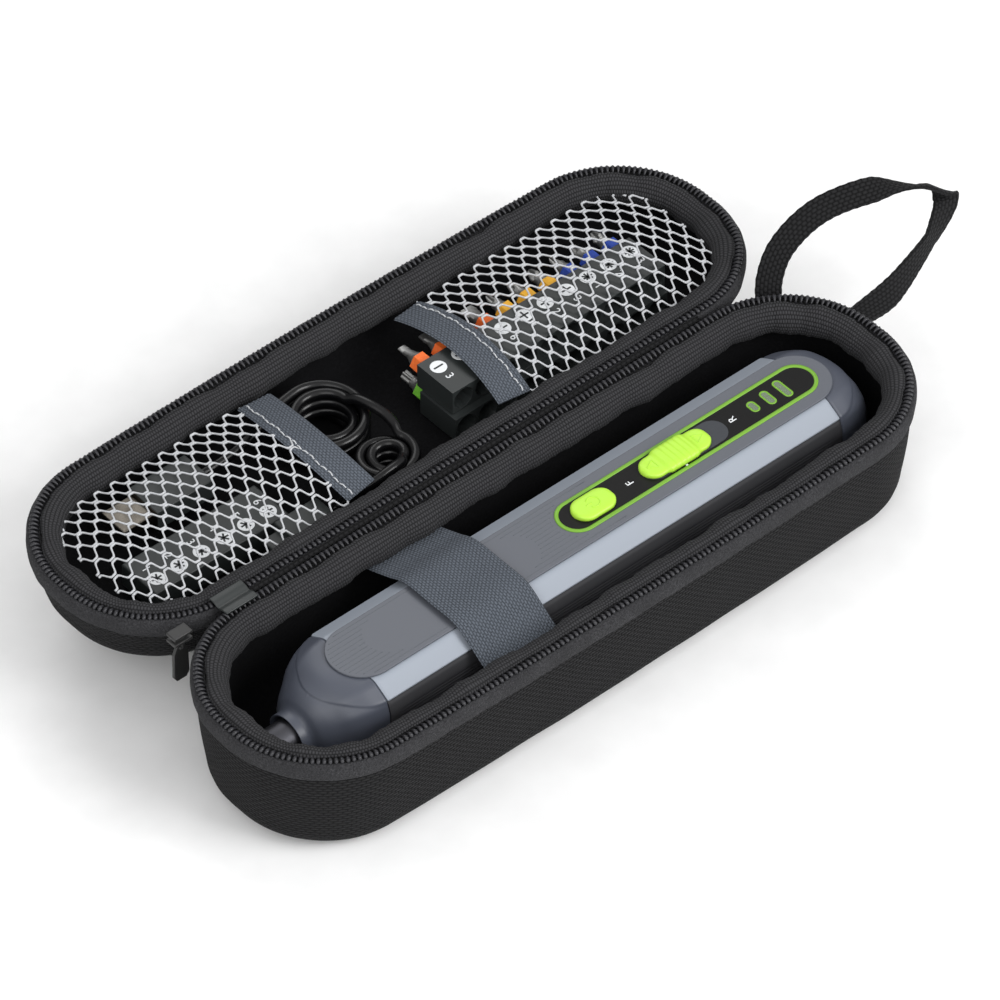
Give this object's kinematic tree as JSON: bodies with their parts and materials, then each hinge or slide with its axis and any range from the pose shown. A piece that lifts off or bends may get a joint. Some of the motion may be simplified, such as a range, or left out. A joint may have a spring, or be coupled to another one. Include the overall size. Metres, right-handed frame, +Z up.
{
  "type": "cordless screwdriver set in a zip case",
  "caption": "Open black hard-shell zip case with a grey and lime in-line cordless screwdriver strapped in the base, and bit rails, mesh pockets and a charging lead in the lid.",
  "frame": {"origin": "middle of the whole open object, on the surface the base rests on", "axes": "+X along the case from the tool nose to its tail and the carry loop, +Y from the base with the tool to the open lid, +Z up"},
  "size_m": [0.3338, 0.165, 0.0732],
  "materials": {
    "shell_fabric": "matte",
    "tape_fabric": "matte",
    "nylon_coil": "satin",
    "collar_fabric": "matte",
    "elastic": "matte",
    "mesh_thread": "matte",
    "black_metal": "satin",
    "black_plastic": "satin",
    "grip_rubber": "matte",
    "grey_plastic": "satin",
    "silver_paint": "satin",
    "inlay_plastic": "satin",
    "lime_plastic": "satin",
    "window_lens": "gloss",
    "light_lens": "gloss",
    "gunmetal": "satin",
    "bit_steel": "satin",
    "motor_steel": "satin",
    "plug_metal": "satin",
    "gear_case": "satin",
    "cell_wrap": "satin",
    "board": "satin",
    "lead_rubber": "gloss"
  },
  "bodies": {
    "base": {"base_shell": "shell_fabric", "base_zip_tape": "tape_fabric", "base_zip_teeth": "nylon_coil", "base_collar": "collar_fabric", "hinge_panel": "shell_fabric", "hinge_end_tab": "black_plastic", "zip_slider": "black_metal", "tool_strap": "elastic"},
    "lid": {"lid_shell": "shell_fabric", "lid_zip_tape": "tape_fabric", "lid_zip_teeth": "nylon_coil", "lid_collar": "collar_fabric", "left_pocket_mesh": "mesh_thread", "left_pocket_trim": "elastic", "right_pocket_mesh": "mesh_thread", "right_pocket_trim": "elastic", "spare_bit_rail": "black_plastic", "lead_coil_large": "lead_rubber", "lead_coil_small": "lead_rubber", "lead_tail": "lead_rubber", "lead_end": "lead_rubber", "lead_link": "lead_rubber", "usb_plug": "plug_metal", "charge_plug": "black_plastic"},
    "tool": {"lower_housing": "grip_rubber", "upper_housing": "silver_paint", "nose_cone": "grey_plastic", "tail_cap": "grey_plastic", "charge_socket": "plug_metal", "top_inlay": "inlay_plastic", "panel_ring": "lime_plastic", "control_panel": "black_plastic", "battery_window_1": "window_lens", "battery_window_2": "window_lens", "battery_window_3": "window_lens", "gearbox": "gear_case", "motor": "motor_steel", "battery_cell": "cell_wrap", "circuit_board": "board", "work_light_far": "light_lens", "work_light_near": "light_lens"},
    "power_button": {"power_button": "lime_plastic"},
    "direction_switch": {"direction_switch": "lime_plastic"},
    "chuck": {"bit_chuck": "gunmetal"},
    "zip_pull": {"zip_pull": "black_metal"},
    "carry_loop": {"carry_loop": "tape_fabric"},
    "bit_rails": {"upper_bit_rail": "black_plastic", "lower_bit_rail": "black_plastic", "bit_sl3": "bit_steel", "bit_sl4": "bit_steel", "bit_sl5": "bit_steel", "bit_sl6": "bit_steel", "bit_ph1": "bit_steel", "bit_ph2": "bit_steel", "bit_ph3": "bit_steel", "bit_pz1": "bit_steel", "bit_pz2": "bit_steel", "bit_pz3": "bit_steel", "bit_star_20": "bit_steel", "bit_star_25": "bit_steel"}
  },
  "joints": [
    {"name": "lid_hinge", "type": "hinge", "parent": "base", "child": "lid", "pos_m": [-0.0259, 0, 0.046], "axis": [1, 0, 0], "range_deg": [0, 180], "deforming": ["hinge_panel", "hinge_end_tab"]},
    {"name": "tool_tilt", "type": "hinge", "parent": "base", "child": "tool", "pos_m": [-0.1569, -0.0415, 0.016], "axis": [0, 1, 0], "range_deg": [-6, 0], "deforming": ["tool_strap"]},
    {"name": "power_button_press", "type": "slide", "parent": "tool", "child": "power_button", "axis": [0, 0, -1], "range_m": [0, 0.0008], "stiffness_N_per_m": 400, "springref_m": -0.0002},
    {"name": "direction_switch_slide", "type": "slide", "parent": "tool", "child": "direction_switch", "axis": [1, 0, 0], "range_m": [0, 0.0058]},
    {"name": "chuck_spin", "type": "hinge", "parent": "tool", "child": "chuck", "pos_m": [-0.1499, -0.0415, 0.0234], "axis": [1, 0, 0], "continuous": true},
    {"name": "zip_pull_swing", "type": "hinge", "parent": "base", "child": "zip_pull", "pos_m": [-0.1504, 0, 0.0394], "axis": [0, 1, 0], "range_deg": [-50, 50]},
    {"name": "carry_loop_swing", "type": "hinge", "parent": "base", "child": "carry_loop", "pos_m": [0.0983, -0.0055, 0.039], "axis": [-0.5657, 0.824, -0.0327], "range_deg": [-20, 45], "stiffness_Nm_per_rad": 0.01},
    {"name": "bit_rails_slide", "type": "slide", "parent": "lid", "child": "bit_rails", "axis": [-1, 0, 0], "range_m": [0, 0.012]}
  ]
}
